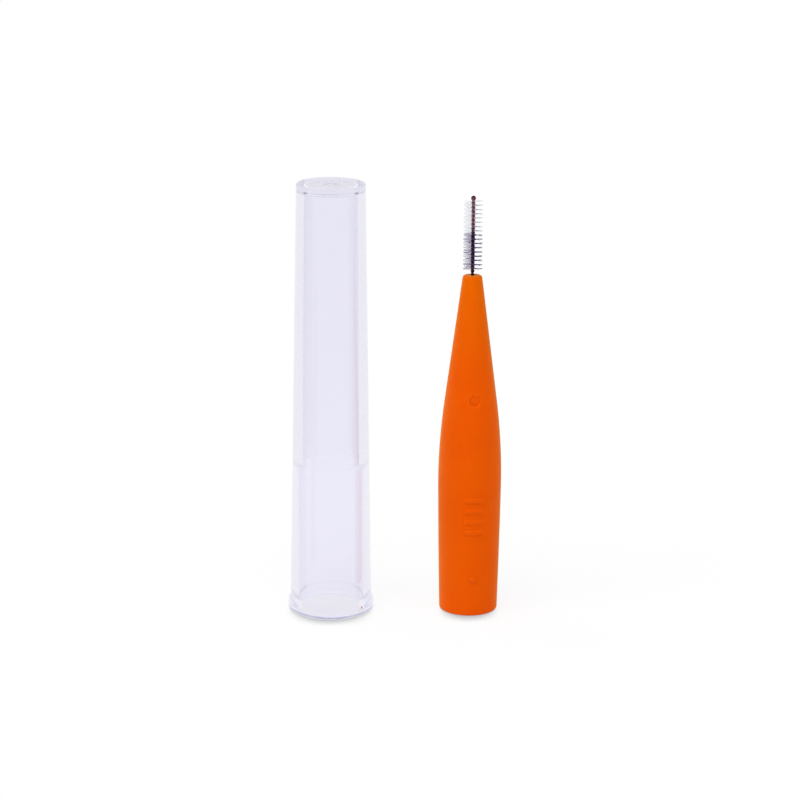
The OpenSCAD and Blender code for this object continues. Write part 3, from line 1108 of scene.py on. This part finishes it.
def open_floor(tree, cap):
    """Mask of the floor's painted shadow: 1 on open floor, less under the cap, 0 in front of what
    keeps light off.
    """
    lean = add(tree, "ShaderNodeCombineXYZ", dict(zip("XYZ", CONTACT_LEAN)))
    reach = {"Distance": CONTACT_REACH * MM}
    near = add(tree, "ShaderNodeAmbientOcclusion", reach, samples=CONTACT_SAMPLES)
    feed(tree, lean.outputs["Vector"], near.inputs["Normal"])
    level = eased(tree, near.outputs["AO"], *CONTACT_RANGE)
    place = add(tree, "ShaderNodeTexCoord", object=cap).outputs["Object"]
    under_cap_shade = near_cap(tree, place, (1, 1, 1), LIP_R - UNDER_CAP_SHADE_EDGE, LIP_R)
    return mixed(tree, under_cap_shade, level, UNDER_CAP_SHADE, "FLOAT")


def floor_glow(tree, far, cap):
    """White light that the floor shows, with a painted shadow close to what stands on it and under
    the cap.
    """
    glow = add(tree, "ShaderNodeEmission")
    tone = mixed(tree, open_floor(tree, cap), CONTACT_SHADOW_TONE, WHITE)
    feed(tree, tone, glow.inputs["Color"])
    level = ranged(tree, far, {"To Min": NEAR_GLOW, "To Max": 1.0})
    feed(tree, level, glow.inputs["Strength"])
    return glow.outputs["Emission"]


def make_floor(cap):
    """A plain white floor with the object's soft contact shadows, partly cast and partly painted,
    even white further off.
    """
    values = {"Base Color": FLOOR_TONE, "Roughness": 0.9, "Specular IOR Level": 0.0}
    material, tree, shader, out = new_material("floor_paper", values)
    place = add(tree, "ShaderNodeTexCoord")
    away = add(tree, "ShaderNodeVectorMath", operation="LENGTH")
    feed(tree, place.outputs["Object"], away.inputs[0])
    far = eased(tree, away.outputs["Value"], FLOOR_NEAR * MM, FLOOR_FAR * MM)
    glowing = ranged(tree, far, {"To Min": NEAR_SHARE, "To Max": 1.0})
    share = joined(tree, "MULTIPLY", glowing, background_ray(tree))
    show_either(tree, share, shader.outputs["BSDF"], floor_glow(tree, far, cap), out)
    around = even_angles(FLOOR_SIDES)
    corners = [(FLOOR_R * math.cos(a), FLOOR_R * math.sin(a), -FLOOR_DROP) for a in around]
    floor = new_object("floor", corners, [range(FLOOR_SIDES)], material)
    floor.location.x = AIM.x * MM


def make_world():
    """An even white surround."""
    world = bpy.data.worlds.new("surround")
    bpy.context.scene.world = world
    tree = empty_tree(world)
    glow = add(tree, "ShaderNodeBackground", {"Color": WHITE})
    level = ranged(tree, background_ray(tree), {"To Min": WORLD_LIGHT, "To Max": 1.0})
    feed(tree, level, glow.inputs["Strength"])
    out = add(tree, "ShaderNodeOutputWorld")
    feed(tree, glow.outputs["Background"], out.inputs["Surface"])


def make_lamp(name, place, power):
    """A large soft lamp that faces the middle of the object. Gloss and glass don't show it."""
    data = bpy.data.lights.new(name, "AREA")
    data.shape = "SQUARE"
    data.size = LAMP_SIZE * MM
    data.energy = power
    lamp = bpy.data.objects.new(name, data)
    lamp.location = Vector(place) * MM
    lamp.rotation_mode = "QUATERNION"
    back = (Vector(place) - AIM).normalized()
    lamp.rotation_quaternion = back.to_track_quat("Z", "Y")
    lamp.visible_glossy = False
    lamp.visible_transmission = False
    bpy.context.scene.collection.objects.link(lamp)


def make_card():
    """A glowing white card between handle and cap: a painted reflection in their gloss, in place of
    each other.
    """
    material = bpy.data.materials.new("card")
    tree = empty_tree(material)
    glow = add(tree, "ShaderNodeEmission", {"Color": WHITE, "Strength": 1.0})
    out = add(tree, "ShaderNodeOutputMaterial")
    feed(tree, glow.outputs["Emission"], out.inputs["Surface"])
    x = (CAP_HIGH.x - CORNER_R) / 2
    ends = (-CARD_W / 2, CARD_W / 2)
    corners = [(x, y, CARD_FOOT) for y in ends] + [(x, y, CARD_TOP) for y in reversed(ends)]
    card = new_object("card", corners, [range(4)], material)
    card.visible_camera = False
    card.visible_diffuse = False
    card.visible_shadow = False
    card.visible_transmission = False


def main():
    """Sets up camera and light, then makes the pieces, and the floor they stand on."""
    place_camera()
    make_world()
    for name, place, power in LAMPS:
        make_lamp(name, place, power)
    make_card()
    groups = (moulded_skin_group(), tone_group())
    make_grip(orange_elastomer(groups))
    make_core(orange_core_plastic(groups))
    make_wire(drawn_wire_metal(groups))
    make_dark_filaments(dark_nylon(groups))
    make_white_filaments(white_nylon(groups))
    cap = make_cap(clear_plastic(groups))
    make_floor(cap)
    bpy.context.scene.view_settings.view_transform = "Standard"


main()
